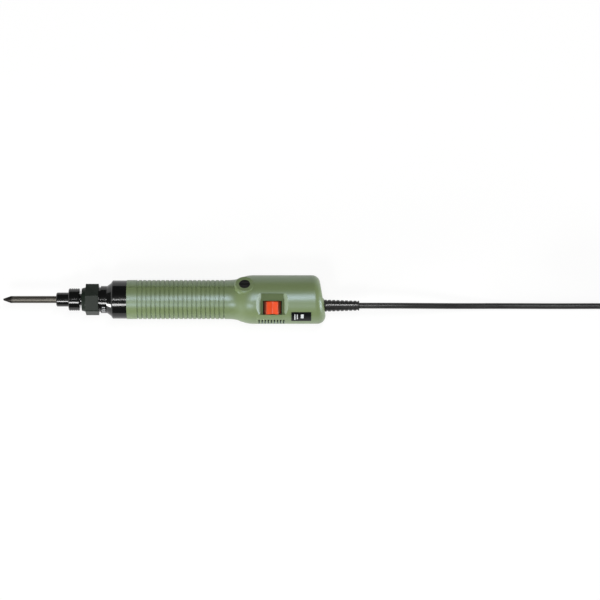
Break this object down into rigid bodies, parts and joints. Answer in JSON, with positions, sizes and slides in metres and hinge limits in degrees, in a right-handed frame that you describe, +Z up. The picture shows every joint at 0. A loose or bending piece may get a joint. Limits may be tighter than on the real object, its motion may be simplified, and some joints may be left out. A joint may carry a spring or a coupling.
{
  "type": "electric screwdriver",
  "caption": "Hand-held corded electric screwdriver: ribbed grip, quick-release bit chuck, torque nut, reversing rocker, geared motor inside and a lead that ends in a round connector.",
  "frame": {"origin": "on the table, under the middle of the tool's length, from bit tip to cord entry", "axes": "+Z up from the table, X along the tool's axis with the bit towards -X and the lead towards +X, so that the rocker and the front of the picture face +Z"},
  "size_m": [0.6449, 0.0706, 0.0416],
  "materials": {
    "green_housing": "fine-textured moulded ABS",
    "black_steel": "black oxide, polished",
    "bit_steel": "dark ground tool steel",
    "bright_steel": "turned",
    "spring_steel": "drawn wire",
    "brass": "turned",
    "copper": "enamelled wire and bars",
    "ferrite": "sintered",
    "carbon": "pressed carbon",
    "black_plastic": "moulded",
    "red_rocker": "moulded, semi-gloss",
    "circuit_laminate": "solder-masked laminate",
    "black_rubber": "moulded soft sheath"
  },
  "bodies": {
    "housing": {"nose_ring": "black_steel", "grip_shell_near": "green_housing", "grip_shell_far": "green_housing", "rear_cover": "green_housing", "cover_screws": "bright_steel", "torque_spring": "spring_steel", "thrust_washer": "bright_steel", "bearing_outer_ring": "bright_steel", "bearing_balls": "bright_steel", "ring_gear": "bright_steel", "motor_plate": "bright_steel", "motor_can": "bright_steel", "magnets": "ferrite", "front_motor_bush": "brass", "rear_motor_bush": "brass", "brush_frame": "black_plastic", "brush_holders": "brass", "brushes": "carbon", "brush_springs": "spring_steel", "brush_caps": "black_plastic", "switch_body": "black_plastic", "rocker_pin": "bright_steel", "circuit_board": "circuit_laminate", "board_parts": "black_plastic", "strain_relief": "black_rubber", "power_cord": "black_rubber", "cord_coil": "black_rubber", "cord_tie": "black_rubber", "cord_tail": "black_rubber", "connector": "black_plastic", "connector_shell": "bright_steel", "connector_pins": "brass"},
    "carrier": {"planet_carrier": "bright_steel", "clutch_plate": "bright_steel", "clutch_balls": "bright_steel", "bearing_inner_ring": "bright_steel", "push_spring": "spring_steel"},
    "planet_1": {"planet_gear_1": "bright_steel"},
    "planet_2": {"planet_gear_2": "bright_steel"},
    "planet_3": {"planet_gear_3": "bright_steel"},
    "rotor": {"motor_shaft": "bright_steel", "pinion": "bright_steel", "armature_core": "bright_steel", "armature_winding": "copper", "commutator": "copper"},
    "bit_holder": {"spindle": "black_steel", "bit": "bit_steel", "retaining_balls": "bright_steel", "collar_clip": "bright_steel", "collar_spring": "spring_steel"},
    "collar": {"release_collar": "black_steel"},
    "seat": {"spring_seat": "bright_steel"},
    "nut": {"torque_nut": "black_steel"},
    "reverse_rocker": {"rocker": "red_rocker"}
  },
  "joints": [
    {"name": "carrier_spin", "type": "hinge", "parent": "housing", "child": "carrier", "pos_m": [-0.01943, 0, 0.0207], "axis": [1, 0, 0], "continuous": true},
    {"name": "rotor_spin", "type": "hinge", "parent": "housing", "child": "rotor", "pos_m": [0.02647, 0, 0.0207], "axis": [1, 0, 0], "continuous": true},
    {"name": "planet_1_spin", "type": "hinge", "parent": "carrier", "child": "planet_1", "pos_m": [-0.01433, 0, 0.0285], "axis": [1, 0, 0], "continuous": true},
    {"name": "planet_2_spin", "type": "hinge", "parent": "carrier", "child": "planet_2", "pos_m": [-0.01433, 0.00675, 0.0168], "axis": [1, 0, 0], "continuous": true},
    {"name": "planet_3_spin", "type": "hinge", "parent": "carrier", "child": "planet_3", "pos_m": [-0.01433, -0.00675, 0.0168], "axis": [1, 0, 0], "continuous": true},
    {"name": "push_start", "type": "slide", "parent": "carrier", "child": "bit_holder", "axis": [1, 0, 0], "range_m": [0, 0.001], "stiffness_N_per_m": 3000, "springref_m": -0.001, "deforming": ["push_spring"]},
    {"name": "collar_release", "type": "slide", "parent": "bit_holder", "child": "collar", "axis": [-1, 0, 0], "range_m": [0, 0.002], "stiffness_N_per_m": 900, "springref_m": -0.001, "deforming": ["collar_spring"]},
    {"name": "torque_travel", "type": "slide", "parent": "housing", "child": "seat", "axis": [1, 0, 0], "range_m": [0, 0.0015], "deforming": ["torque_spring"]},
    {"name": "torque_turn", "type": "hinge", "parent": "seat", "child": "nut", "pos_m": [-0.06943, 0, 0.0207], "axis": [1, 0, 0], "range_deg": [0, 360]},
    {"name": "rocker_tilt", "type": "hinge", "parent": "housing", "child": "reverse_rocker", "pos_m": [0.09253, -0.00604, 0.0323], "axis": [0, 0.9781, 0.2079], "range_deg": [-7, 7]}
  ],
  "couplings": [
    {"joint": "rotor_spin", "follows": "carrier_spin", "ratio": 4},
    {"joint": "planet_1_spin", "follows": "carrier_spin", "ratio": -3},
    {"joint": "planet_2_spin", "follows": "carrier_spin", "ratio": -3},
    {"joint": "planet_3_spin", "follows": "carrier_spin", "ratio": -3},
    {"joint": "torque_turn", "follows": "torque_travel", "rad_per_m": 4188.8}
  ]
}
